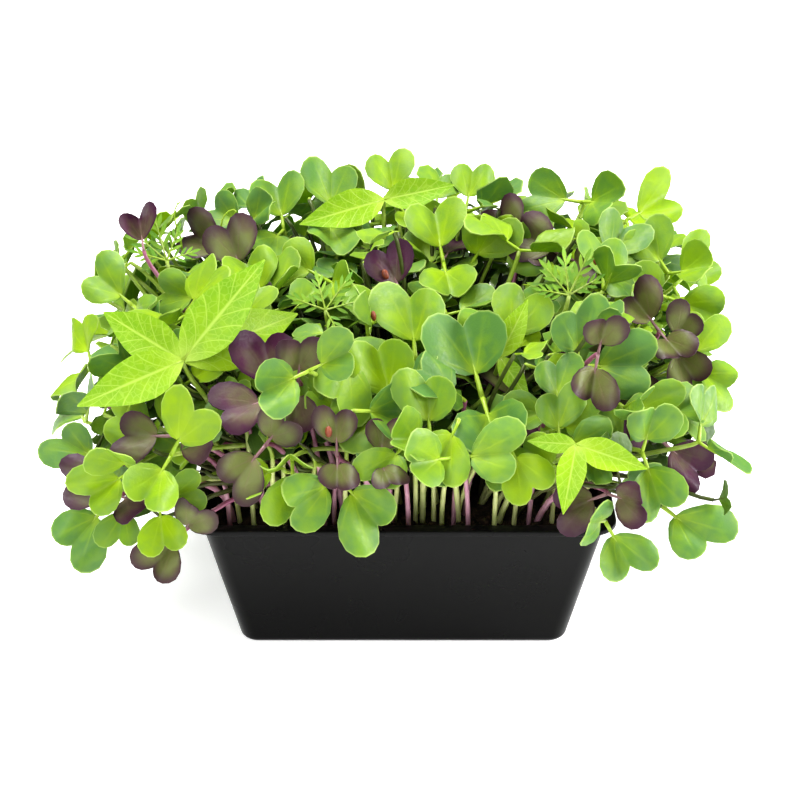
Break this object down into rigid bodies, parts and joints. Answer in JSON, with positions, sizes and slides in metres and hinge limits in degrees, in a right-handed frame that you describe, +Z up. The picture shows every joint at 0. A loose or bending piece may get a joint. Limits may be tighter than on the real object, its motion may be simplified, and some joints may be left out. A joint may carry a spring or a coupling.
{
  "type": "microgreens tray",
  "caption": "Small flared plastic tray filled with dark soil and a dense mixed crop of radish, mung bean and cress seedlings that spills over its rim.",
  "frame": {"origin": "middle of the tray's underside", "axes": "+Z up, +X along the tray's long side to the right as seen from the front, +Y from the front to the back"},
  "size_m": [0.2003, 0.1554, 0.1192],
  "materials": {
    "tray": "satin black moulded plastic",
    "soil": "dark moist crumbly potting soil",
    "radish_green_leaf": "satin living leaf, green with paler edges and veins",
    "radish_purple_leaf": "satin living leaf, dark purple to olive brown",
    "mung_bean_leaf": "satin living leaf, bright yellow green with net veins",
    "cress_leaf": "fine living leaflets, mid green"
  },
  "bodies": {
    "root": {"tray": "tray", "soil": "soil", "mung_bean_1": "mung_bean_leaf", "mung_bean_2": "mung_bean_leaf", "mung_bean_3": "mung_bean_leaf", "mung_bean_4": "mung_bean_leaf", "cress_1": "cress_leaf", "cress_2": "cress_leaf", "cress_3": "cress_leaf", "radish_purple_01": "radish_purple_leaf", "radish_purple_02": "radish_purple_leaf", "radish_purple_03": "radish_purple_leaf", "radish_purple_04": "radish_purple_leaf", "radish_purple_05": "radish_purple_leaf", "radish_purple_06": "radish_purple_leaf", "radish_purple_07": "radish_purple_leaf", "radish_purple_08": "radish_purple_leaf", "radish_purple_09": "radish_purple_leaf", "radish_purple_10": "radish_purple_leaf", "radish_purple_11": "radish_purple_leaf", "radish_purple_12": "radish_purple_leaf", "radish_purple_13": "radish_purple_leaf", "radish_purple_14": "radish_purple_leaf", "radish_green_01": "radish_green_leaf", "radish_green_02": "radish_green_leaf", "radish_green_03": "radish_green_leaf", "radish_green_04": "radish_green_leaf", "radish_green_05": "radish_green_leaf", "radish_green_06": "radish_green_leaf", "radish_green_07": "radish_green_leaf", "radish_green_08": "radish_green_leaf", "radish_green_09": "radish_green_leaf", "radish_green_10": "radish_green_leaf", "radish_green_11": "radish_green_leaf", "radish_green_12": "radish_green_leaf", "radish_green_13": "radish_green_leaf", "radish_green_14": "radish_green_leaf", "radish_green_15": "radish_green_leaf", "radish_green_16": "radish_green_leaf", "radish_green_17": "radish_green_leaf", "radish_green_18": "radish_green_leaf", "radish_green_19": "radish_green_leaf", "radish_green_20": "radish_green_leaf", "radish_green_21": "radish_green_leaf", "radish_green_22": "radish_green_leaf", "radish_green_23": "radish_green_leaf", "radish_green_24": "radish_green_leaf", "radish_green_25": "radish_green_leaf", "radish_green_26": "radish_green_leaf", "radish_green_27": "radish_green_leaf", "radish_green_28": "radish_green_leaf", "radish_green_29": "radish_green_leaf", "radish_green_30": "radish_green_leaf", "radish_green_31": "radish_green_leaf", "radish_green_32": "radish_green_leaf"}
  },
  "joints": []
}
